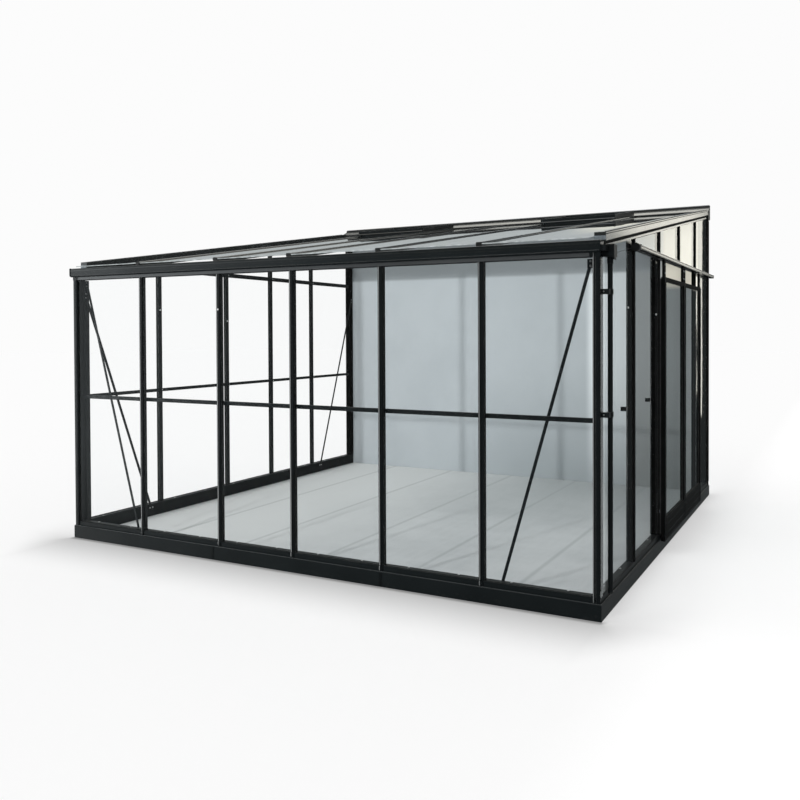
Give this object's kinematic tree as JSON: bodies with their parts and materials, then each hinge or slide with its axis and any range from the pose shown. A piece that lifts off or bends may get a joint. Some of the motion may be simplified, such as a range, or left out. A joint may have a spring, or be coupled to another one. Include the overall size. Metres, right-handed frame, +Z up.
{
  "type": "lean-to greenhouse",
  "caption": "Lean-to greenhouse with a black aluminium frame on a plinth, glass walls, a sloping glass roof with raised vents, and sliding double doors in one gable.",
  "frame": {"origin": "at ground level under the floor, in the middle of the bay grid", "axes": "+X to the right along the front, +Y from the front to the open house side, +Z up"},
  "size_m": [4.546, 3.728, 2.9483],
  "materials": {
    "frame": "satin black-green powder coat",
    "plinth": "satin dark powder coat",
    "glass": "clear toughened",
    "paving": "matt pale grey slabs"
  },
  "bodies": {
    "building": {"base_front": "plinth", "base_left": "plinth", "base_right": "plinth", "brace_front_left": "frame", "brace_front_right": "frame", "brace_gable_front": "frame", "brace_gable_rear": "frame", "corner_post_left": "frame", "corner_post_right": "frame", "door_track": "frame", "downpipe": "frame", "eaves_gutter": "frame", "floor_slabs": "paving", "front_bar_1": "frame", "front_bar_2": "frame", "front_bar_3": "frame", "front_bar_4": "frame", "front_bar_5": "frame", "glass_front": "glass", "glass_left": "glass", "glass_right": "glass", "glass_right_rear": "glass", "header_left": "frame", "header_right": "frame", "left_bar_1": "frame", "left_bar_2": "frame", "left_bar_3": "frame", "left_bar_4": "frame", "mid_rail_front": "frame", "mid_rail_left": "frame", "rake_rail_left": "frame", "rake_rail_right": "frame", "ridge_rail": "frame", "right_bar_1": "frame", "right_bar_2": "frame", "right_bar_3": "frame", "right_bar_4": "frame", "roof_bar_1": "frame", "roof_bar_2": "frame", "roof_bar_3": "frame", "roof_bar_4": "frame", "roof_bar_5": "frame", "roof_glass_1": "glass", "roof_glass_2": "glass", "roof_glass_3": "glass", "roof_glass_4": "glass", "roof_glass_5": "glass", "roof_glass_6": "glass", "vent_1": "frame", "vent_1_glass": "glass", "vent_2": "frame", "vent_2_glass": "glass", "verge_left": "frame", "verge_right": "frame", "wall_post_left": "frame", "wall_post_right": "frame"},
    "door_leaf_front": {"door_front_frame": "frame", "door_front_glass": "glass"},
    "door_leaf_rear": {"door_rear_frame": "frame", "door_rear_glass": "glass"}
  },
  "joints": [
    {"name": "door_front_slide", "type": "slide", "parent": "building", "child": "door_leaf_front", "axis": [0, -1, 0], "range_m": [0, 0.7]},
    {"name": "door_rear_slide", "type": "slide", "parent": "building", "child": "door_leaf_rear", "axis": [0, 1, 0], "range_m": [0, 0.7]}
  ]
}
